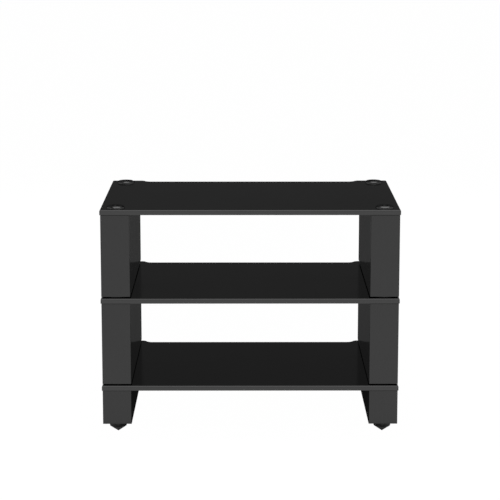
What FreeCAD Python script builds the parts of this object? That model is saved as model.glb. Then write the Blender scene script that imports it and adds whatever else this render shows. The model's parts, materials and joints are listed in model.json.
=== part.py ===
# Three tier audio rack, in millimetres, standing on the floor at z 0.
# The front faces -Y and the middle of the rack's plan is x 0, y 0.
# Each tier is a board on two box supports. A cone under each end of a support stands in a
# cup on the tier below, and the base tier's four cones are levelling feet on the floor.
import FreeCAD, Part
import math
import os

# Boards
shelf_width = 700.0
shelf_depth = 465.0
shelf_thickness = 12.0
shelf_edge_chamfer = 2.5
recess_depth = 17.5
recess_half_width = 252.0
recess_shoulder = 26.0

# Box supports
support_width = 68.0
support_side_inset = 1.5
support_end_inset = 2.0
support_height = 194.0
base_support_height = 81.5
casing_wall = 2.0
casing_corner_radius = 3.0
plate_thickness = 3.0
plate_clearance = 0.1

# Heights between the pieces
tier_gap = 4.0
floor_gap = 25.5
tip_clearance = 0.3

# Columns inside the supports, on the centres of the cups and cones
fixing_inset = 37.0
column_radius = 16.0
column_wall = 2.5
insert_length = 20.0
insert_clearance = 0.1

# Cups
cup_radius = 21.5
cup_height = 5.2
cup_edge_chamfer = 3.5
cup_seat_depth = 0.5
cup_seat_clearance = 0.1
dish_radius = 8.5
dish_depth = 4.4
cup_spigot_radius = 12.0
spigot_side_clearance = 0.3
spigot_end_clearance = 0.5
cup_stud_engagement = 18.0

# Cones and their studs
cone_radius = 20.0
cone_height = 13.4
cone_tip_radius = 0.8
cone_rim_height = 14.6
cone_rim_chamfer = 0.6
cone_stud_length = 45.0
stud_radius = 6.0
stud_end_chamfer = 1.0
stud_running_clearance = 0.08
stud_hole_clearance = 0.5

# Lock nuts of the levelling feet
nut_across_flats = 19.0
nut_height = 8.0
nut_corner_chamfer = 0.8

# Worked out from the sizes above
support_depth = shelf_depth - 2 * support_end_inset
support_x = shelf_width / 2 - support_side_inset - support_width / 2
fixing_y = shelf_depth / 2 - fixing_inset
cone_head_height = cone_height + cone_rim_height
dish_floor = cup_height - dish_depth
skirt_depth = dish_floor + tip_clearance + cone_head_height - tier_gap
base_shelf_bottom = floor_gap + base_support_height
middle_support_bottom = base_shelf_bottom + shelf_thickness + tier_gap
top_support_bottom = middle_support_bottom + support_height + shelf_thickness + tier_gap
sides = {"left": -1, "right": 1}
ends = {"front": -1, "rear": 1}


def vec(x, y, z=0.0):
    return FreeCAD.Vector(x, y, z)


def placed(shape, x, y, z):
    """A copy of a shape, moved from the origin to a place."""
    copy = shape.copy()
    copy.translate(vec(x, y, z))
    return copy


def rod(radius, length, bottom=0.0):
    """A round bar on the Z axis that starts at a height."""
    return Part.makeCylinder(radius, length, vec(0, 0, bottom))


def turned(edges):
    """A solid turned about Z from a closed outline of edges in the XZ plane."""
    face = Part.Face(Part.Wire(edges))
    return face.revolve(vec(0, 0, 0), vec(0, 0, 1), 360)


def line_edges(points):
    """Straight edges through a list of (radius, height) points."""
    places = [vec(r, 0, z) for r, z in points]
    return [Part.makeLine(a, b) for a, b in zip(places, places[1:])]


def rounded_bar(width, depth, height, radius):
    """A block centred on Z with its four upright edges rounded."""
    block = Part.makeBox(width, depth, height, vec(-width / 2, -depth / 2))
    upright = [e for e in block.Edges if abs(e.tangentAt(e.FirstParameter).z) > 0]
    return block.makeFillet(radius, upright)


def fixing_points():
    """The (x, y) centres of the four cups, columns and cones of a tier."""
    return [(side * support_x, end * fixing_y) for side in sides.values() for end in ends.values()]


def column_points(x):
    """The (x, y) centres of the two columns in a support whose middle is at x."""
    return [(x, end * fixing_y) for end in ends.values()]


def s_bend(start, end):
    """Two equal arcs that leave start and reach end, both running along X."""
    run = end.x - start.x
    drop = end.y - start.y
    middle = (start + end) / 2
    radius = (run ** 2 + drop ** 2) / (4 * abs(drop))
    half_turn = math.atan2(abs(drop), abs(run))
    along = math.copysign(radius * math.sin(half_turn), run)
    across = math.copysign(radius * (1 - math.cos(half_turn)), drop)
    first = Part.Arc(start, vec(start.x + along, start.y + across), middle)
    second = Part.Arc(middle, vec(end.x - along, end.y - across), end)
    return [first.toShape(), second.toShape()]


def shelf_outline():
    """The board's outline, with the cable recess cut into its rear edge."""
    half_width = shelf_width / 2
    front = -shelf_depth / 2
    rear = shelf_depth / 2
    shoulder_x = recess_half_width + recess_shoulder
    recess_y = rear - recess_depth
    front_left, front_right = vec(-half_width, front), vec(half_width, front)
    rear_left, rear_right = vec(-half_width, rear), vec(half_width, rear)
    right_outer, right_inner = vec(shoulder_x, rear), vec(recess_half_width, recess_y)
    left_outer, left_inner = vec(-shoulder_x, rear), vec(-recess_half_width, recess_y)
    edges = [
        Part.makeLine(front_left, front_right),
        Part.makeLine(front_right, rear_right),
        Part.makeLine(rear_right, right_outer),
    ]
    edges += s_bend(right_outer, right_inner)
    edges.append(Part.makeLine(right_inner, left_inner))
    edges += s_bend(left_inner, left_outer)
    edges += [Part.makeLine(left_outer, rear_left), Part.makeLine(rear_left, front_left)]
    return Part.Wire(edges)


def shelf():
    """A lacquered board, chamfered round its top, with a seat and a hole for each cup, bottom at z 0."""
    board = Part.Face(shelf_outline()).extrude(vec(0, 0, shelf_thickness))
    rim = [e for e in board.Edges if e.BoundBox.ZMin > shelf_thickness / 2]
    board = board.makeChamfer(shelf_edge_chamfer, rim)
    hole = rod(cup_spigot_radius + spigot_side_clearance, shelf_thickness)
    seat = rod(cup_radius + cup_seat_clearance, cup_seat_depth, shelf_thickness - cup_seat_depth)
    for x, y in fixing_points():
        board = board.cut(placed(hole, x, y, 0)).cut(placed(seat, x, y, 0))
    return board


def casing(height):
    """The folded and welded shell of a support, open at its top and bottom."""
    outer = rounded_bar(support_width, support_depth, height, casing_corner_radius)
    inner = rounded_bar(
        support_width - 2 * casing_wall,
        support_depth - 2 * casing_wall,
        height,
        casing_corner_radius - casing_wall,
    )
    return outer.cut(inner)


def plate():
    """A plate that closes the casing, with a hole for a stud at each end."""
    body = rounded_bar(
        support_width - 2 * (casing_wall + plate_clearance),
        support_depth - 2 * (casing_wall + plate_clearance),
        plate_thickness,
        casing_corner_radius - casing_wall,
    )
    for x, y in column_points(0):
        body = body.cut(placed(rod(stud_radius + stud_hole_clearance, plate_thickness), x, y, 0))
    return body


def column_length(height):
    """The clear height between a support's two plates."""
    return height - skirt_depth - 2 * plate_thickness


def column(height):
    """A steel tube that carries the load from a cup down to a cone."""
    length = column_length(height)
    return rod(column_radius, length).cut(rod(column_radius - column_wall, length))


def insert():
    """A threaded plug in the end of a column, with its thread as a plain bore."""
    plug = rod(column_radius - column_wall - insert_clearance, insert_length)
    return plug.cut(rod(stud_radius + stud_running_clearance, insert_length))


def cup():
    """A turned cup let into the board, whose top face is at z 0, with its stud below.

    It is a low disc with a sloping shoulder and a small round dish in its middle.
    """
    ball_radius = (dish_radius ** 2 + dish_depth ** 2) / (2 * dish_depth)
    half_way = dish_radius / 2
    half_way_rise = ball_radius - math.sqrt(ball_radius ** 2 - half_way ** 2)
    dish = Part.Arc(
        vec(0, 0, dish_floor),
        vec(half_way, 0, dish_floor + half_way_rise),
        vec(dish_radius, 0, cup_height),
    ).toShape()
    spigot_bottom = spigot_end_clearance - shelf_thickness
    stud_bottom = -shelf_thickness - plate_thickness - cup_stud_engagement
    rest = line_edges([
        (dish_radius, cup_height),
        (cup_radius - cup_edge_chamfer, cup_height),
        (cup_radius, cup_height - cup_edge_chamfer),
        (cup_radius, -cup_seat_depth),
        (cup_spigot_radius, -cup_seat_depth),
        (cup_spigot_radius, spigot_bottom),
        (stud_radius, spigot_bottom),
        (stud_radius, stud_bottom + stud_end_chamfer),
        (stud_radius - stud_end_chamfer, stud_bottom),
        (0, stud_bottom),
        (0, dish_floor),
    ])
    return turned([dish] + rest)


def cone():
    """A turned cone with its rim's top face at z 0, its tip below and its stud above."""
    return turned(line_edges([
        (0, -cone_head_height),
        (cone_tip_radius, -cone_head_height),
        (cone_radius, -cone_rim_height),
        (cone_radius, -cone_rim_chamfer),
        (cone_radius - cone_rim_chamfer, 0),
        (stud_radius, 0),
        (stud_radius, cone_stud_length - stud_end_chamfer),
        (stud_radius - stud_end_chamfer, cone_stud_length),
        (0, cone_stud_length),
        (0, -cone_head_height),
    ]))


def lock_nut():
    """A hexagon nut with its top face at z 0."""
    corner_radius = nut_across_flats / math.sqrt(3)
    corners = [math.radians(60 * step) for step in range(7)]
    outline = [vec(corner_radius * math.cos(a), corner_radius * math.sin(a), -nut_height) for a in corners]
    prism = Part.Face(Part.makePolygon(outline)).extrude(vec(0, 0, nut_height))
    blank = turned(line_edges([
        (0, 0),
        (corner_radius - nut_corner_chamfer, 0),
        (corner_radius, -nut_corner_chamfer),
        (corner_radius, nut_corner_chamfer - nut_height),
        (corner_radius - nut_corner_chamfer, -nut_height),
        (0, -nut_height),
        (0, 0),
    ]))
    bore = rod(stud_radius + stud_running_clearance, nut_height, -nut_height)
    return prism.common(blank).cut(bore)


def write(name, shapes):
    """Write one node's solids to its STEP file."""
    shape = shapes[0] if len(shapes) == 1 else Part.makeCompound(shapes)
    shape.exportStep(f"parts/{name}.step")


def write_supports(tier, bottom, height):
    """Write the casings, plates and columns of a tier's two supports."""
    plate_bottom = bottom + skirt_depth
    for side, sign in sides.items():
        x = sign * support_x
        write(f"{tier}_{side}_support_casing", [placed(casing(height), x, 0, bottom)])
        write(f"{tier}_{side}_bottom_plate", [placed(plate(), x, 0, plate_bottom)])
        write(f"{tier}_{side}_top_plate", [placed(plate(), x, 0, bottom + height - plate_thickness)])
        column_bottom = plate_bottom + plate_thickness
        columns = [placed(column(height), cx, cy, column_bottom) for cx, cy in column_points(x)]
        write(f"{tier}_{side}_columns", columns)


def write_group(name, shape, z):
    """Write four copies of a piece, one on each fixing centre, as one node."""
    write(name, [placed(shape, x, y, z) for x, y in fixing_points()])


def write_each(name, shape, z):
    """Write four copies of a piece, one on each fixing centre, as four nodes."""
    for end, end_sign in ends.items():
        for side, side_sign in sides.items():
            piece = placed(shape, side_sign * support_x, end_sign * fixing_y, z)
            write(f"{name}_{end}_{side}", [piece])


def write_tier(tier, bottom, height):
    """Write the pieces that every tier has, apart from its cups and cones."""
    lower_insert_bottom = bottom + skirt_depth + plate_thickness
    upper_insert_bottom = bottom + height - plate_thickness - insert_length
    write(f"{tier}_shelf", [placed(shelf(), 0, 0, bottom + height)])
    write_supports(tier, bottom, height)
    write_group(f"{tier}_lower_inserts", insert(), lower_insert_bottom)
    write_group(f"{tier}_upper_inserts", insert(), upper_insert_bottom)


def write_rack():
    """Write every node of the rack."""
    write_tier("base", floor_gap, base_support_height)
    write_tier("middle", middle_support_bottom, support_height)
    write_tier("top", top_support_bottom, support_height)
    write_group("base_cups", cup(), base_shelf_bottom + shelf_thickness)
    write_group("middle_cups", cup(), middle_support_bottom + support_height + shelf_thickness)
    write_each("top_cup", cup(), top_support_bottom + support_height + shelf_thickness)
    write_each("levelling_foot", cone(), cone_head_height)
    write_group("foot_lock_nuts", lock_nut(), floor_gap + skirt_depth)
    write_group("middle_cones", cone(), middle_support_bottom + skirt_depth)
    write_group("top_cones", cone(), top_support_bottom + skirt_depth)


os.makedirs("parts", exist_ok=True)
write_rack()
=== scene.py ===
"""Dresses the frame of a three tier audio rack and stands it in a plain studio.

The boards, support casings, cups and cones are modelled again here with rounded edges, turned
profiles and threads, each in the place of its frame node. The plates, columns, inserts and lock
nuts stay as they are and get their own finishes. Sizes are in metres, on the frame's axes: the
front faces -Y and the floor is z 0.
"""
import json
import logging
import math
from collections.abc import Callable, Iterable
from dataclasses import dataclass, field
from enum import Enum

import bmesh
import bpy
from mathutils import Matrix, Vector


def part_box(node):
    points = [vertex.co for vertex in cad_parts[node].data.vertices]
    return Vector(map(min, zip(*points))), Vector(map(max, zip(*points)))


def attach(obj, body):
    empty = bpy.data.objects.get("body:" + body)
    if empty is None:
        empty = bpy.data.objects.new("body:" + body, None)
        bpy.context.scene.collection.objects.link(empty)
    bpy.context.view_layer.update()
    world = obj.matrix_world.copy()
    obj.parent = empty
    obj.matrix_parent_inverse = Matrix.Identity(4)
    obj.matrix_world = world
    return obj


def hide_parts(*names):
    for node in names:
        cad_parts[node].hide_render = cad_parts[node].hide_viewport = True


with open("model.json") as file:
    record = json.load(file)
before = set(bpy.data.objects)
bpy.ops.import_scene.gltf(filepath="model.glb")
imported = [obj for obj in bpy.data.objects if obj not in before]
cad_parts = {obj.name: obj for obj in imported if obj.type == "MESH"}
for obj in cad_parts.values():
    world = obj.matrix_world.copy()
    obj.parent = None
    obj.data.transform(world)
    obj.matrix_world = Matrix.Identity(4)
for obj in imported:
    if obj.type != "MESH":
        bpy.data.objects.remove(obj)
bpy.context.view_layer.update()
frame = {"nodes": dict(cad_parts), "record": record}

log = logging.getLogger("audio_rack")

MM = 0.001
SHARP_EDGE = math.radians(30)
CREASE = math.radians(35)
MERGE_DISTANCE = 0.001 * MM

Colour = tuple[float, float, float, float]


class Tier(Enum):
    """The rack's three tiers, by the first word of their nodes' names."""

    BASE = "base"
    MIDDLE = "middle"
    TOP = "top"

    @property
    def body(self) -> str:
        """The frame body that the tier's pieces ride on."""
        return f"{self.value}_tier"


class Side(Enum):
    """Left or right of the rack, as the front view shows it."""

    LEFT = "left"
    RIGHT = "right"


class End(Enum):
    """Front or rear end of a support."""

    FRONT = "front"
    REAR = "rear"


class Axis(Enum):
    """An axis of the scene, by the name of its socket."""

    X = "X"
    Y = "Y"
    Z = "Z"


CORNERS = [(end, side) for end in End for side in Side]


class Shader:
    """A material in the making, with its principled surface and its Object coordinates."""

    def __init__(self, name: str) -> None:
        """Start a material.

        Args:
            name: The material's name.
        """
        self.material = bpy.data.materials.new(name)
        self.material.use_nodes = True
        self.nodes = self.material.node_tree.nodes
        self.links = self.material.node_tree.links
        self.surface = self.nodes["Principled BSDF"]
        self.place = self.add("ShaderNodeTexCoord").outputs["Object"]

    def add(self, kind: str, sockets: dict | None = None, **settings: object) -> bpy.types.Node:
        """Add a node, set it up and wire it in.

        Args:
            kind: The node's Blender type.
            sockets: Input name or number to a value, or to the output that feeds it.
            **settings: Other properties of the node.

        Returns:
            The new node.
        """
        node = self.nodes.new(kind)
        for name, value in settings.items():
            setattr(node, name, value)
        for key, value in (sockets or {}).items():
            if isinstance(value, bpy.types.NodeSocket):
                self.links.new(value, node.inputs[key])
            else:
                node.inputs[key].default_value = value
        return node

    def noise(self, grain: float, detail: float = 3.0) -> bpy.types.NodeSocket:
        """Grey noise over the piece.

        Args:
            grain: Rough size of one blotch, in metres.
            detail: Octaves of finer noise.

        Returns:
            The noise, about 0.5 on average.
        """
        sockets = {"Vector": self.place, "Scale": 1 / grain, "Detail": detail}
        return self.add("ShaderNodeTexNoise", sockets).outputs["Fac"]

    def maths(self, operation: str, *values: object) -> bpy.types.NodeSocket:
        """The result of a Math node.

        Args:
            operation: The node's operation.
            *values: Its inputs, numbers or outputs of other nodes.

        Returns:
            The node's output.
        """
        node = self.add("ShaderNodeMath", dict(enumerate(values)), operation=operation)
        return node.outputs[0]

    def spread(
        self, source: bpy.types.NodeSocket, low: float, high: float
    ) -> bpy.types.NodeSocket:
        """Stretch the middle of a noise to a range.

        Args:
            source: The noise.
            low: Result in its dark blotches.
            high: Result in its light blotches.

        Returns:
            The stretched value.
        """
        darkest, lightest = 0.3, 0.7
        return self.span(source, darkest, lightest, low, high)

    def span(
        self,
        value: bpy.types.NodeSocket,
        start: float,
        end: float,
        first: float = 0.0,
        last: float = 1.0,
    ) -> bpy.types.NodeSocket:
        """Map a range of a value to another range, and hold it at both ends.

        Args:
            value: The value.
            start: Where its range starts.
            end: Where its range ends.
            first: Result at the start.
            last: Result at the end.

        Returns:
            The mapped value.
        """
        sockets = {
            "Value": value, "From Min": start, "From Max": end, "To Min": first, "To Max": last,
        }
        return self.add("ShaderNodeMapRange", sockets).outputs["Result"]

    def blend(
        self, share: bpy.types.NodeSocket, first: Colour, second: Colour
    ) -> bpy.types.NodeSocket:
        """Mix two colours.

        Args:
            share: Share of the second colour, 0 to 1.
            first: Colour at 0.
            second: Colour at 1.

        Returns:
            The mixed colour.
        """
        ramp = self.add("ShaderNodeValToRGB", {"Fac": share})
        ramp.color_ramp.elements[0].color = first
        ramp.color_ramp.elements[1].color = second
        return ramp.outputs["Color"]

    def relief(
        self,
        height: bpy.types.NodeSocket,
        depth: float,
        under: bpy.types.NodeSocket | None = None,
    ) -> bpy.types.NodeSocket:
        """Turn a height into surface relief.

        Args:
            height: The height, 0 to 1.
            depth: Depth of the relief, in metres.
            under: Normal of a coarser relief below it.

        Returns:
            The bumped normal.
        """
        sockets = {"Height": height, "Distance": depth, "Strength": 1.0}
        if under is not None:
            sockets["Normal"] = under
        return self.add("ShaderNodeBump", sockets).outputs["Normal"]

    def finish(
        self,
        colour: bpy.types.NodeSocket,
        roughness: bpy.types.NodeSocket,
        normal: bpy.types.NodeSocket,
        **constants: float | Colour,
    ) -> bpy.types.Material:
        """Wire the surface and give its even values.

        Args:
            colour: Base colour.
            roughness: Roughness.
            normal: Bumped normal.
            **constants: Values of other sockets, with _ for a space in a name.

        Returns:
            The finished material.
        """
        sockets = {"Base Color": colour, "Roughness": roughness, "Normal": normal}
        for name, source in sockets.items():
            self.links.new(source, self.surface.inputs[name])
        for name, value in constants.items():
            self.surface.inputs[name.replace("_", " ")].default_value = value
        return self.material


def grey(value: float, warmth: float = 0.0) -> Colour:
    """A grey with a slight cast.

    Args:
        value: Its linear brightness.
        warmth: Share by which red is above and blue below it.

    Returns:
        The colour.
    """
    return (value * (1 + warmth), value, value * (1 - warmth), 1.0)


@dataclass(frozen=True)
class BoardLacquer:
    """Rubbed black lacquer on fibre board, with faint orange peel and handling haze."""

    name: str = "board_lacquer"
    slot: str = "shelf_lacquer"
    deep: float = 0.0009
    pale: float = 0.0015
    gloss_low: float = 0.10
    gloss_high: float = 0.17
    cloud: float = 0.12
    peel: float = 0.0045
    peel_depth: float = 0.000012
    dust: float = 0.0009
    dust_depth: float = 0.000004

    def build(self) -> bpy.types.Material:
        """Make the material.

        Returns:
            The material, ready for its slot.
        """
        shader = Shader(self.name)
        cloud = shader.noise(self.cloud, 5.0)
        haze = shader.maths("MULTIPLY", cloud, shader.noise(self.dust, 2.0))
        peel = shader.relief(shader.noise(self.peel, 1.0), self.peel_depth)
        grain = shader.relief(shader.noise(self.dust, 1.0), self.dust_depth, peel)
        return shader.finish(
            shader.blend(shader.spread(haze, 0.0, 1.0), grey(self.deep), grey(self.pale)),
            shader.spread(cloud, self.gloss_low, self.gloss_high),
            grain,
            IOR=1.52,
        )


@dataclass(frozen=True)
class PowderCoat:
    """Black powder coat on sheet steel, finely grained, with a slight sheen."""

    name: str
    slot: str
    dark: float = 0.0065
    light: float = 0.0095
    rough_low: float = 0.10
    rough_high: float = 0.13
    specular: float = 0.37
    speck: float = 0.0011
    speck_depth: float = 0.0000025
    speck_share: float = 0.6
    sweep: float = 0.09

    def build(self) -> bpy.types.Material:
        """Make the material.

        Returns:
            The material, ready for its slot.
        """
        shader = Shader(self.name)
        speck = shader.noise(self.speck, 2.0)
        sweep = shader.noise(self.sweep, 4.0)
        broad = shader.maths("MULTIPLY", sweep, 1 - self.speck_share)
        mottle = shader.maths("MULTIPLY_ADD", speck, self.speck_share, broad)
        return shader.finish(
            shader.blend(shader.spread(mottle, 0.0, 1.0), grey(self.dark), grey(self.light)),
            shader.spread(sweep, self.rough_low, self.rough_high),
            shader.relief(speck, self.speck_depth),
            Specular_IOR_Level=self.specular,
        )


@dataclass(frozen=True)
class TurnedMetal:
    """Metal turned on a lathe, ringed round each of the four upright axes, rougher in a dish, where
    its colour is also darkened as painted shade.
    """

    name: str
    slot: str
    axis_x: float
    axis_y: float
    dark: Colour
    light: Colour
    rough_low: float
    rough_high: float
    edge_tint: float = 1.0
    # Radius of the dish: inside it the roughness is raised and the colour is scaled by the painted
    # shade share.
    dull_and_shaded_radius: float = 0.0
    dish_painted_shade: float = 1.0
    dull_rough: float = 0.0
    ring: float = 0.00045
    ring_depth: float = 0.0000025
    ring_share: float = 0.25
    smear: float = 0.006

    def build(self) -> bpy.types.Material:
        """Make the material.

        Returns:
            The material, ready for its slot.
        """
        shader = Shader(self.name)
        split = shader.add("ShaderNodeSeparateXYZ", {"Vector": shader.place})
        squares = [
            shader.maths("POWER", shader.maths("SUBTRACT", shader.maths("ABSOLUTE", at), axis), 2.0)
            for at, axis in ((split.outputs["X"], self.axis_x), (split.outputs["Y"], self.axis_y))
        ]
        radius = shader.maths("SQRT", shader.maths("ADD", *squares))
        height = shader.maths("ADD", radius, split.outputs["Z"])
        wave = shader.maths("SINE", shader.maths("MULTIPLY", height, math.tau / self.ring))
        rings = shader.maths("MULTIPLY_ADD", wave, 0.5, 0.5)
        smear = shader.noise(self.smear, 4.0)
        smeared = shader.maths("MULTIPLY", smear, 1 - self.ring_share)
        worn = shader.maths("MULTIPLY_ADD", rings, self.ring_share, smeared)
        # Inside the dish the colour is scaled down as painted shade, and the roughness is raised.
        dull = shader.maths("LESS_THAN", radius, self.dull_and_shaded_radius)
        roughness = shader.spread(smear, self.rough_low, self.rough_high)
        share = shader.maths("MULTIPLY_ADD", dull, self.dish_painted_shade - 1.0, 1.0)
        colour = shader.blend(shader.spread(worn, 0.0, 1.0), self.dark, self.light)
        shaded_colour = shader.add("ShaderNodeVectorMath", {0: colour, "Scale": share}, operation="SCALE")
        return shader.finish(
            shaded_colour.outputs["Vector"],
            shader.maths("MULTIPLY_ADD", dull, self.dull_rough, roughness),
            shader.relief(rings, self.ring_depth),
            Metallic=1.0,
            Specular_Tint=grey(self.edge_tint),
        )


@dataclass(frozen=True)
class ZincPlating:
    """Bright zinc on drawn steel tube, with lengthwise draw marks and pale bloom."""

    name: str = "zinc_plating"
    slot: str = "column_steel"
    dull: Colour = (0.42, 0.43, 0.45, 1.0)
    bright: Colour = (0.62, 0.63, 0.66, 1.0)
    rough_low: float = 0.28
    rough_high: float = 0.42
    bloom: float = 0.018
    draw_mark: float = 0.0008
    mark_stretch: float = 0.02
    mark_depth: float = 0.00001

    def build(self) -> bpy.types.Material:
        """Make the material.

        Returns:
            The material, ready for its slot.
        """
        shader = Shader(self.name)
        stretch = (1.0, 1.0, self.mark_stretch)
        drawn = shader.add("ShaderNodeMapping", {"Vector": shader.place, "Scale": stretch})
        marks = shader.add(
            "ShaderNodeTexNoise",
            {"Vector": drawn.outputs["Vector"], "Scale": 1 / self.draw_mark, "Detail": 2.0},
        ).outputs["Fac"]
        bloom = shader.noise(self.bloom, 5.0)
        return shader.finish(
            shader.blend(shader.spread(bloom, 0.0, 1.0), self.dull, self.bright),
            shader.spread(bloom, self.rough_low, self.rough_high),
            shader.relief(marks, self.mark_depth),
            Metallic=1.0,
        )


@dataclass
class Finishes:
    """Every finish of the rack, made once and found by its material slot."""

    column_x: float
    column_y: float
    materials: dict[str, bpy.types.Material] = field(default_factory=dict)

    def build(self) -> None:
        """Make the materials."""
        axes = {"axis_x": self.column_x, "axis_y": self.column_y}
        finishes = [
            BoardLacquer(),
            PowderCoat("casing_powder_coat", "support_coating"),
            PowderCoat("plate_powder_coat", "plate_steel", dark=0.008, light=0.012),
            TurnedMetal(
                "cup_black_chrome", "cup_metal", **axes,
                dark=grey(0.055), light=grey(0.08), rough_low=0.22, rough_high=0.30, edge_tint=0.76,
                # The cup's dish is darkened as painted shade and made rougher.
                dull_and_shaded_radius=0.0089, dish_painted_shade=0.25, dull_rough=0.2,
            ),
            TurnedMetal(
                "cone_black_chrome", "cone_metal", **axes,
                dark=grey(0.055), light=grey(0.085), rough_low=0.07, rough_high=0.11,
                ring_depth=0.000001,
            ),
            TurnedMetal(
                "insert_turned_steel", "insert_steel", **axes,
                dark=grey(0.4), light=grey(0.6), rough_low=0.25, rough_high=0.4,
            ),
            TurnedMetal(
                "nut_blackened_steel", "nut_steel", **axes,
                dark=grey(0.03, 0.05), light=grey(0.08), rough_low=0.35, rough_high=0.5,
            ),
            ZincPlating(),
        ]
        for finish in finishes:
            self.materials[finish.slot] = finish.build()
            log.info("finish %s", finish.name)

    def dress_nodes(self) -> None:
        """Give every frame node the finish of its slot."""
        for part in frame["record"]["subparts"]:
            node = frame["nodes"][part["node"]]
            node.data.materials.clear()
            node.data.materials.append(self.materials[part["material_slot"]])


def bevel(
    bm: bmesh.types.BMesh, edges: list[bmesh.types.BMEdge], width: float, segments: int
) -> None:
    """Round some edges of a mesh.

    Args:
        bm: The mesh.
        edges: The edges.
        width: Width of the rounding along each face.
        segments: Facets round it.
    """
    bmesh.ops.bevel(
        bm, geom=edges, offset=width, segments=segments, affect="EDGES", profile=0.5, material=-1
    )


def soften(
    bm: bmesh.types.BMesh,
    width: float,
    segments: int,
    chosen: Callable[[bmesh.types.BMEdge], bool] | None = None,
) -> None:
    """Round a mesh's sharp edges.

    Args:
        bm: The mesh.
        width: Width of the rounding along each face.
        segments: Facets round it.
        chosen: Test that an edge also passes, or None for every sharp edge.
    """
    edges = [e for e in bm.edges if e.is_manifold and e.calc_face_angle() > SHARP_EDGE]
    if chosen is not None:
        edges = [e for e in edges if chosen(e)]
    bevel(bm, edges, width, segments)


def above(height: float) -> Callable[[bmesh.types.BMEdge], bool]:
    """A test for edges that lie wholly above a height."""
    return lambda edge: min(vert.co.z for vert in edge.verts) > height


def lathe(bm: bmesh.types.BMesh, profile: Iterable[tuple[float, float]], steps: int) -> None:
    """Turn a profile round the Z axis into a closed shell.

    Args:
        bm: The mesh that gets the shell.
        profile: Points of radius and height, from axis to axis.
        steps: Facets of the full turn.
    """
    verts = [bm.verts.new((radius, 0.0, height)) for radius, height in profile]
    edges = [bm.edges.new(pair) for pair in zip(verts, verts[1:])]
    bmesh.ops.spin(
        bm, geom=verts + edges, cent=(0, 0, 0), axis=(0, 0, 1), angle=math.tau, steps=steps,
        use_merge=True,
    )
    bmesh.ops.remove_doubles(bm, verts=bm.verts, dist=MERGE_DISTANCE)
    bmesh.ops.recalc_face_normals(bm, faces=bm.faces)


def verts_of(items: Iterable[object]) -> list[bmesh.types.BMVert]:
    """The vertices among some pieces of a mesh."""
    return [item for item in items if isinstance(item, bmesh.types.BMVert)]


def copies(bm: bmesh.types.BMesh, places: Iterable[Vector]) -> None:
    """Put a copy of a mesh at each place, instead of the one at the origin.

    Args:
        bm: The mesh.
        places: Where its origin goes.
    """
    pattern = bm.verts[:] + bm.edges[:] + bm.faces[:]
    for place in places:
        made = bmesh.ops.duplicate(bm, geom=pattern)["geom"]
        bmesh.ops.translate(bm, verts=verts_of(made), vec=place)
    bmesh.ops.delete(bm, geom=verts_of(pattern))


def cut_away(piece: bpy.types.Object, cutter: bpy.types.Object) -> None:
    """Cut one object's shape out of another and delete the cutter.

    Args:
        piece: The object that is cut.
        cutter: The shape that is taken out.
    """
    modifier = piece.modifiers.new("cut", "BOOLEAN")
    modifier.operation = "DIFFERENCE"
    modifier.solver = "EXACT"
    modifier.object = cutter
    depsgraph = bpy.context.evaluated_depsgraph_get()
    cut = bpy.data.meshes.new_from_object(piece.evaluated_get(depsgraph))
    piece.modifiers.clear()
    piece.data = cut
    bpy.data.objects.remove(cutter)


def new_object(name: str, bm: bmesh.types.BMesh) -> bpy.types.Object:
    """Make an object of a finished bmesh.

    Args:
        name: The object's name.
        bm: The mesh, which is freed.

    Returns:
        The object, linked to the scene.
    """
    mesh = bpy.data.meshes.new(name)
    bm.to_mesh(mesh)
    bm.free()
    piece = bpy.data.objects.new(name, mesh)
    bpy.context.scene.collection.objects.link(piece)
    return piece


def settle(
    piece: bpy.types.Object, body: str, slot: str, finishes: Finishes, nodes: list[str]
) -> None:
    """Shade a piece smooth between its creases, finish it and let it stand for its frame nodes.

    Args:
        piece: The piece, in place.
        body: The frame body that it rides on.
        slot: The record's material slot.
        finishes: The rack's finishes.
        nodes: The frame nodes that it replaces.
    """
    piece.data.materials.clear()
    piece.data.materials.append(finishes.materials[slot])
    piece.data.shade_smooth()
    piece.data.set_sharp_from_angle(angle=CREASE)
    flats = piece.modifiers.new("flat_faces_stay_flat", "WEIGHTED_NORMAL")
    flats.keep_sharp = True
    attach(piece, body)
    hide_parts(*nodes)
    log.info("%s on %s, for %s", piece.name, body, ", ".join(nodes))


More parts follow.
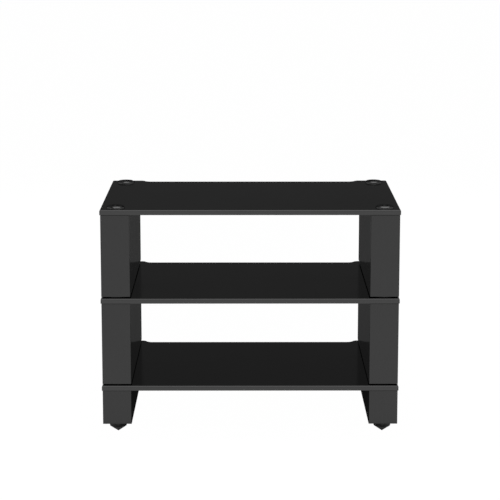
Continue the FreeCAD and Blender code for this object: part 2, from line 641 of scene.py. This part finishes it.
@dataclass
class Board:
    """A tier's board, with its chamfered top rim, its rear cable recess and its four cup seats."""

    tier: Tier
    finishes: Finishes
    hole_x: float
    hole_y: float
    rim: float = 2.5 * MM
    crown: float = 0.8 * MM
    crown_facets: int = 3
    edge: float = 0.5 * MM
    edge_facets: int = 2
    recess_depth: float = 17.5 * MM
    recess_half_width: float = 252.0 * MM
    shoulder: float = 26.0 * MM
    shoulder_facets: int = 10
    shoulder_fill: float = 0.995
    hole_radius: float = 12.3 * MM
    hole_facets: int = 96
    seat_radius: float = 21.6 * MM
    seat_depth: float = 0.5 * MM

    @property
    def node(self) -> str:
        """The frame node that the board stands for."""
        return f"{self.tier.value}_shelf"

    def outline(self, low: Vector, high: Vector) -> list[tuple[float, float]]:
        """The board's corners in plan, with the recess's shoulders as straight slopes.

        Args:
            low: The board's lowest corner.
            high: The board's highest corner.

        Returns:
            Points of x and y, all the way round.
        """
        slope_run = (self.recess_depth / 2) / math.tan(self.slope_angle)
        middle = self.recess_half_width + self.shoulder / 2
        floor = high.y - self.recess_depth
        right = [(middle + slope_run, high.y), (middle - slope_run, floor)]
        left = [(-x, y) for x, y in reversed(right)]
        return [(low.x, low.y), (high.x, low.y), (high.x, high.y), *right, *left, (low.x, high.y)]

    @property
    def slope_angle(self) -> float:
        """The steepest angle of the recess's shoulders to the rear edge."""
        return 2 * math.atan2(self.recess_depth, self.shoulder)

    def build(self) -> None:
        """Make the board."""
        low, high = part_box(self.node)
        bm = bmesh.new()
        corners = [bm.verts.new((x, y, low.z)) for x, y in self.outline(low, high)]
        base = bm.faces.new(corners)
        grown = bmesh.ops.extrude_face_region(bm, geom=[base])["geom"]
        bmesh.ops.translate(bm, verts=verts_of(grown), vec=(0, 0, high.z - low.z))
        bmesh.ops.recalc_face_normals(bm, faces=bm.faces)
        self.round_shoulders(bm, low.x)
        soften(bm, self.rim, 1, above((low.z + high.z) / 2))
        soften(bm, self.crown, self.crown_facets, above(high.z - self.edge))
        soften(bm, self.edge, self.edge_facets)
        board = new_object(f"{self.tier.value}_board", bm)
        cut_away(board, self.hole_cutter(low, high))
        settle(board, self.tier.body, "shelf_lacquer", self.finishes, [self.node])

    def round_shoulders(self, bm: bmesh.types.BMesh, side: float) -> None:
        """Turn the recess's four upright corners into arcs that meet halfway.

        Args:
            bm: The board's mesh.
            side: The x of the board's left side.
        """
        half_slope = (self.recess_depth / 2) / math.sin(self.slope_angle)
        upright = [e for e in bm.edges if abs(e.verts[0].co.z - e.verts[1].co.z) > self.rim]
        inner = [e for e in upright if abs(e.verts[0].co.x) < abs(side) - self.rim]
        bevel(bm, inner, half_slope * self.shoulder_fill, self.shoulder_facets)

    def hole_cutter(self, low: Vector, high: Vector) -> bpy.types.Object:
        """Stepped round bars that cut the cups' holes and the shallow seats round them.

        Args:
            low: The board's lowest corner.
            high: The board's highest corner.

        Returns:
            An object to cut with.
        """
        thickness = high.z - low.z
        profile = [
            (0.0, -2 * thickness),
            (self.hole_radius, -2 * thickness),
            (self.hole_radius, -self.seat_depth),
            (self.seat_radius, -self.seat_depth),
            (self.seat_radius, thickness),
            (0.0, thickness),
        ]
        bm = bmesh.new()
        lathe(bm, profile, self.hole_facets)
        copies(bm, corner_points(self.hole_x, self.hole_y, high.z))
        return new_object("hole_cutter", bm)


def corner_points(x: float, y: float, z: float) -> list[Vector]:
    """The four places of a tier's cups or cones, in the order of CORNERS.

    Args:
        x: Their distance from the middle, sideways.
        y: Their distance from the middle, front to back.
        z: Their height.

    Returns:
        The places.
    """
    signs = {Side.LEFT: -1, Side.RIGHT: 1, End.FRONT: -1, End.REAR: 1}
    return [Vector((signs[side] * x, signs[end] * y, z)) for end, side in CORNERS]


@dataclass
class Casing:
    """The folded and welded steel shell of one box support, open at its top and bottom."""

    tier: Tier
    side: Side
    finishes: Finishes
    wall: float = 2.0 * MM
    corner: float = 2.2 * MM
    corner_facets: int = 8
    top_lip: float = 1.25 * MM
    lip: float = 0.35 * MM
    lip_facets: int = 2

    @property
    def node(self) -> str:
        """The frame node that the casing stands for."""
        return f"{self.tier.value}_{self.side.value}_support_casing"

    def build(self) -> None:
        """Make the casing."""
        low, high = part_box(self.node)
        size = high - low
        bm = bmesh.new()
        place = Matrix.Translation((low + high) / 2) @ Matrix.Diagonal((*size, 1))
        bmesh.ops.create_cube(bm, size=1.0, matrix=place)
        ends = [f for f in bm.faces if abs(f.normal.z) > 0.5]
        bmesh.ops.delete(bm, geom=ends, context="FACES_ONLY")
        upright = [e for e in bm.edges if e.verts[0].co.z != e.verts[1].co.z]
        bevel(bm, upright, self.corner, self.corner_facets)
        bmesh.ops.recalc_face_normals(bm, faces=bm.faces)
        bmesh.ops.solidify(bm, geom=bm.faces[:], thickness=self.wall)
        bmesh.ops.recalc_face_normals(bm, faces=bm.faces)
        soften(bm, self.top_lip, self.lip_facets, above((low.z + high.z) / 2))
        soften(bm, self.lip, self.lip_facets)
        piece = new_object(f"{self.tier.value}_{self.side.value}_casing", bm)
        settle(piece, self.tier.body, "support_coating", self.finishes, [self.node])


@dataclass
class TurnedPart:
    """What the cups and cones share: their stud, their rounding and how they are placed."""

    finishes: Finishes
    slot: str = ""
    edge: float = 0.5 * MM
    edge_facets: int = 3
    stud_radius: float = 6.0 * MM
    stud_chamfer: float = 1.0 * MM
    thread_pitch: float = 1.75 * MM
    thread_depth: float = 0.9 * MM
    half_crest: float = 0.1
    facets: int = 96

    def stud(self, bottom: float, top: float) -> list[tuple[float, float]]:
        """The threaded stretch of a stud, as V grooves.

        Args:
            bottom: Its lower end.
            top: Its upper end.

        Returns:
            Points of radius and height, upwards.
        """
        turns = int((top - bottom) / self.thread_pitch)
        step = (top - bottom) / turns
        crest, root = self.stud_radius, self.stud_radius - self.thread_depth
        groove = [(crest, self.half_crest), (root, 0.5), (crest, 1 - self.half_crest)]
        return [
            (radius, bottom + (turn + share) * step)
            for turn in range(turns) for radius, share in groove
        ]

    def shape(self) -> bmesh.types.BMesh:
        """One part, at the origin."""
        raise NotImplementedError

    def place(self, name: str, node: str, body: str, places: list[Vector]) -> None:
        """Set copies of the part as one piece.

        Args:
            name: The piece's name.
            node: The frame node that it stands for.
            body: The body that it rides on.
            places: Where the parts stand.
        """
        bm = self.shape()
        copies(bm, places)
        settle(new_object(name, bm), body, self.slot, self.finishes, [node])


@dataclass
class Cup(TurnedPart):
    """A cup let into a board: a low disc with a sloping shoulder, a dish, a spigot and a stud."""

    slot: str = "cup_metal"
    edge: float = 0.7 * MM
    radius: float = 21.5 * MM
    height: float = 5.2 * MM
    shoulder: float = 3.5 * MM
    seat_depth: float = 0.5 * MM
    dish_radius: float = 8.5 * MM
    dish_depth: float = 4.4 * MM
    spigot_radius: float = 12.0 * MM
    spigot_length: float = 11.5 * MM
    total_below: float = 33.0 * MM
    dish_steps: int = 14

    def dish(self) -> list[tuple[float, float]]:
        """The dish, as a piece of a ball.

        Returns:
            Points of radius and height, from its middle to its lip.
        """
        ball = (self.dish_radius ** 2 + self.dish_depth ** 2) / (2 * self.dish_depth)
        floor = self.height - self.dish_depth
        sweep = math.asin(self.dish_radius / ball)
        angles = [sweep * step / self.dish_steps for step in range(self.dish_steps + 1)]
        return [(ball * math.sin(a), floor + ball * (1 - math.cos(a))) for a in angles]

    def shape(self) -> bmesh.types.BMesh:
        """One cup.

        Returns:
            Its mesh, with the board's surface at height 0.
        """
        stud = self.stud(-self.total_below + self.stud_chamfer, -self.spigot_length)
        profile = [
            (0.0, -self.total_below),
            (self.stud_radius - self.stud_chamfer, -self.total_below),
            *stud,
            (self.stud_radius, -self.spigot_length),
            (self.spigot_radius, -self.spigot_length),
            (self.spigot_radius, -self.seat_depth),
            (self.radius, -self.seat_depth),
            (self.radius, self.height - self.shoulder),
            (self.radius - self.shoulder, self.height),
            *reversed(self.dish()),
        ]
        bm = bmesh.new()
        lathe(bm, profile, self.facets)
        soften(bm, self.edge, self.edge_facets, lambda e: e.verts[0].co.z > self.edge)
        return bm


@dataclass
class Cone(TurnedPart):
    """A cone foot: a rim, a cone with a blunted tip below it and a threaded stud above."""

    slot: str = "cone_metal"
    radius: float = 20.0 * MM
    cone_height: float = 13.4 * MM
    rim_height: float = 14.6 * MM
    tip_radius: float = 0.8 * MM
    stud_length: float = 45.0 * MM

    def shape(self) -> bmesh.types.BMesh:
        """One cone foot.

        Returns:
            Its mesh, with its tip at height 0.
        """
        head = self.cone_height + self.rim_height
        top = head + self.stud_length
        profile = [
            (0.0, 0.0),
            (self.tip_radius, 0.0),
            (self.radius, self.cone_height),
            (self.radius, head),
            (self.stud_radius, head),
            *self.stud(head, top - self.stud_chamfer),
            (self.stud_radius - self.stud_chamfer, top),
            (0.0, top),
        ]
        bm = bmesh.new()
        lathe(bm, profile, self.facets)
        rim = self.radius - self.edge
        soften(bm, self.edge, self.edge_facets, lambda e: e.verts[0].co.xy.length > rim)
        return bm


@dataclass
class Rack:
    """The whole rack, built tier by tier."""

    finishes: Finishes
    x: float
    y: float

    def build(self) -> None:
        """Make every visible piece."""
        for tier in Tier:
            Board(tier, self.finishes, self.x, self.y).build()
            for side in Side:
                Casing(tier, side, self.finishes).build()
        self.build_cups()
        self.build_cones()

    def build_cups(self) -> None:
        """Make the cups: a set for each lower board, and four single ones on the top board."""
        cup = Cup(self.finishes)
        for tier in (Tier.BASE, Tier.MIDDLE):
            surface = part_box(f"{tier.value}_shelf")[1].z
            places = corner_points(self.x, self.y, surface)
            cup.place(f"{tier.value}_cup_set", f"{tier.value}_cups", tier.body, places)
        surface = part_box("top_shelf")[1].z
        for (end, side), place in zip(CORNERS, corner_points(self.x, self.y, surface)):
            name = f"{end.value}_{side.value}"
            cup.place(f"{name}_top_cup", f"top_cup_{name}", Tier.TOP.body, [place])

    def build_cones(self) -> None:
        """Make the cones: a set under each upper tier, and four levelling feet."""
        cone = Cone(self.finishes)
        for tier in (Tier.MIDDLE, Tier.TOP):
            node = f"{tier.value}_cones"
            places = corner_points(self.x, self.y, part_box(node)[0].z)
            cone.place(f"{tier.value}_cone_set", node, tier.body, places)
        for (end, side), place in zip(CORNERS, corner_points(self.x, self.y, 0.0)):
            name = f"{end.value}_{side.value}"
            cone.place(f"{name}_cone_foot", f"levelling_foot_{name}", f"foot_{name}", [place])


@dataclass(frozen=True)
class Falloff:
    """How bright something is along a line, as stops of place and brightness."""

    stops: tuple[tuple[float, float], ...]
    brightest: float = 2.0

    def ramp(self, shader: Shader, place: bpy.types.NodeSocket) -> bpy.types.NodeSocket:
        """Add the brightness to a material.

        Args:
            shader: The material.
            place: Place along the line, in metres.

        Returns:
            The brightness there.
        """
        start, end = self.stops[0][0], self.stops[-1][0]
        curve = shader.add("ShaderNodeFloatCurve", {"Value": shader.span(place, start, end)})
        points = curve.mapping.curves[0].points
        while len(points) < len(self.stops):
            points.new(0.5, 0.5)
        for point, (at, brightness) in zip(points, self.stops):
            point.location = ((at - start) / (end - start), brightness / self.brightest)
            point.handle_type = "VECTOR"
        curve.mapping.update()
        return shader.maths("MULTIPLY", curve.outputs["Value"], self.brightest)


@dataclass(frozen=True)
class WallGlow:
    """A light on the studio's walls or ceiling that grows with one axis of the direction."""

    axis: Axis
    start: float
    end: float
    brightness: float


@dataclass
class Studio:
    """A pale floor, dark and light walls, a softbox overhead, and the camera."""

    floor_size: float = 60.0
    floor_blotch: float = 0.4
    floor_tone: float = 0.02
    floor_tint: float = 1.02
    floor_rough: tuple[float, float] = (0.85, 0.9)
    floor_relief: float = 0.01 * MM
    floor_glow: float = 0.995
    lens: float = 135.84826
    camera_place: tuple[float, float, float] = (-0.0120986, -4.5472446, 1.2543156)
    pitch_down: float = 10.6261
    yaw_right: float = 0.1547
    softbox_size: tuple[float, float] = (3.1, 2.8)
    softbox_place: tuple[float, float, float] = (0.45, -1.2, 3.0)
    softbox_brightness: float = 1.8
    wall_brightness: float = 0.048
    wall_glows: tuple[WallGlow, ...] = (
        WallGlow(Axis.X, -0.6, -0.85, 0.9),
        WallGlow(Axis.X, 0.6, 0.85, 0.9),
        WallGlow(Axis.Y, -0.1, -0.7, 0.4),
        WallGlow(Axis.Z, 0.48, 0.75, 0.12),
    )
    # Brightness along the rack's middle: the fall from about y -0.33 to a dim stretch under and
    # behind the rack is the rack's shadow, painted into the floor light.
    in_line_with_painted_shadow: Falloff = Falloff((
        (-1.0, 1.43), (-0.45, 1.43), (-0.335, 1.42), (-0.321, 1.32), (-0.312, 0.85),
        (-0.303, 0.55), (-0.289, 0.45), (-0.281, 0.28), (-0.275, 0.15), (-0.24, 0.12),
        (-0.21, 0.14), (-0.19, 0.14), (-0.16, 0.01), (0.2, 0.0075), (0.6, 0.0425), (1.2, 0.0474),
    ))
    beside: Falloff = Falloff((
        (-1.0, 1.42), (-0.4, 1.42), (0.0, 0.95), (0.4, 0.8), (1.2, 0.8), (2.5, 0.7), (4.0, 0.05),
        (9.0, 0.03),
    ))
    # Across this band the painted shadow under the rack gives way to the light beside it.
    beside_from: float = 0.335
    beside_full: float = 0.60
    dimmer_from: float = 1.0
    dimmer_to: float = 4.5
    dimmed: float = 0.3

    def build(self) -> None:
        """Set the floor, the light and the camera."""
        bpy.context.scene.view_settings.view_transform = "Standard"
        self.build_floor()
        self.build_floor_light()
        self.build_world()
        self.build_softbox()
        self.build_camera()

    def sheet(self, name: str) -> bpy.types.Object:
        """A flat sheet over the whole floor.

        Args:
            name: The sheet's name.

        Returns:
            The sheet.
        """
        bm = bmesh.new()
        bmesh.ops.create_grid(bm, x_segments=1, y_segments=1, size=self.floor_size / 2)
        return new_object(name, bm)

    def build_floor(self) -> None:
        """Lay the floor, evenly lit, too pale for more than a trace of shadow, clear from below."""
        floor = self.sheet("studio_floor")
        shader = Shader("floor_paint")
        cloud = shader.noise(self.floor_blotch)
        tone = self.floor_tone
        floor.data.materials.append(shader.finish(
            shader.blend(shader.spread(cloud, 0.0, 1.0), grey(tone), grey(tone * self.floor_tint)),
            shader.spread(cloud, *self.floor_rough),
            shader.relief(cloud, self.floor_relief),
            Specular_IOR_Level=0.0,
            Emission_Color=grey(1.0),
            Emission_Strength=self.floor_glow,
        ))
        seen_from = shader.add("ShaderNodeNewGeometry").outputs["Backfacing"]
        one_sided = shader.add("ShaderNodeMixShader", {
            0: seen_from,
            1: shader.surface.outputs["BSDF"],
            2: shader.add("ShaderNodeBsdfTransparent").outputs["BSDF"],
        }).outputs["Shader"]
        shader.links.new(one_sided, shader.nodes["Material Output"].inputs["Surface"])
        floor.visible_diffuse = False
        floor.visible_glossy = False

    def build_floor_light(self) -> None:
        """Lay the light that the rack mirrors: bright in front and beside, with the rack's shadow
        painted into it as a dim stretch under and behind the rack.
        """
        sheet = self.sheet("studio_floor_light")
        shader = Shader("floor_light")
        split = shader.add("ShaderNodeSeparateXYZ", {"Vector": shader.place})
        across = shader.maths("ABSOLUTE", split.outputs["X"])
        dimmer = shader.span(across, self.dimmer_from, self.dimmer_to, 1.0, self.dimmed)
        # Under the rack the in-line falloff carries the painted shadow; out to the sides it blends
        # into the light beside the rack.
        blend = shader.add("ShaderNodeMix", {
            "Factor": shader.span(across, self.beside_from, self.beside_full),
            "A": self.in_line_with_painted_shadow.ramp(shader, split.outputs["Y"]),
            "B": self.beside.ramp(shader, split.outputs["Y"]),
        })
        glow = shader.maths("MULTIPLY", blend.outputs["Result"], dimmer)
        emission = shader.add("ShaderNodeEmission", {"Strength": glow}).outputs["Emission"]
        shader.links.new(emission, shader.nodes["Material Output"].inputs["Surface"])
        sheet.data.materials.append(shader.material)
        sheet.visible_camera = False

    def build_world(self) -> None:
        """Light the studio from its walls, faintly from behind, and back it with white."""
        world = bpy.data.worlds.new("studio")
        bpy.context.scene.world = world
        world.use_nodes = True
        nodes, links = world.node_tree.nodes, world.node_tree.links
        split = nodes.new("ShaderNodeSeparateXYZ")
        links.new(nodes.new("ShaderNodeTexCoord").outputs["Generated"], split.inputs["Vector"])
        total = nodes.new("ShaderNodeValue").outputs["Value"]
        total.default_value = self.wall_brightness
        for glow in self.wall_glows:
            span = nodes.new("ShaderNodeMapRange")
            span.inputs["From Min"].default_value = glow.start
            span.inputs["From Max"].default_value = glow.end
            span.inputs["To Max"].default_value = glow.brightness
            links.new(split.outputs[glow.axis.value], span.inputs["Value"])
            joined = nodes.new("ShaderNodeMath")
            links.new(span.outputs["Result"], joined.inputs[0])
            links.new(total, joined.inputs[1])
            total = joined.outputs["Value"]
        walls = nodes["Background"]
        walls.inputs["Color"].default_value = grey(1.0)
        links.new(total, walls.inputs["Strength"])
        backdrop = nodes.new("ShaderNodeBackground")
        backdrop.inputs["Color"].default_value = grey(1.0)
        seen = nodes.new("ShaderNodeMixShader")
        links.new(nodes.new("ShaderNodeLightPath").outputs["Is Camera Ray"], seen.inputs["Fac"])
        links.new(walls.outputs["Background"], seen.inputs[1])
        links.new(backdrop.outputs["Background"], seen.inputs[2])
        links.new(seen.outputs["Shader"], nodes["World Output"].inputs["Surface"])

    def build_softbox(self) -> None:
        """Hang the softbox over the front of the rack, facing down."""
        light = bpy.data.lights.new("overhead_softbox", "AREA")
        light.shape = "RECTANGLE"
        light.size, light.size_y = self.softbox_size
        light.energy = self.softbox_brightness * math.pi * light.size * light.size_y
        softbox = bpy.data.objects.new("overhead_softbox", light)
        softbox.location = self.softbox_place
        bpy.context.scene.collection.objects.link(softbox)

    def build_camera(self) -> None:
        """Stand the camera where the photograph was taken from."""
        data = bpy.data.cameras.new("camera")
        data.lens = self.lens
        camera = bpy.data.objects.new("camera", data)
        camera.location = self.camera_place
        pitch, yaw = math.radians(90 - self.pitch_down), -math.radians(self.yaw_right)
        camera.rotation_euler = (pitch, 0.0, yaw)
        bpy.context.scene.collection.objects.link(camera)
        bpy.context.scene.camera = camera


def main() -> None:
    """Build the finishes, the rack and the studio in order."""
    logging.basicConfig(level=logging.INFO, format="%(name)s: %(message)s")
    low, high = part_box("top_cup_rear_right")
    x, y = (low.x + high.x) / 2, (low.y + high.y) / 2
    finishes = Finishes(x, y)
    finishes.build()
    finishes.dress_nodes()
    Rack(finishes, x, y).build()
    Studio().build()


if __name__ == "__main__":
    main()
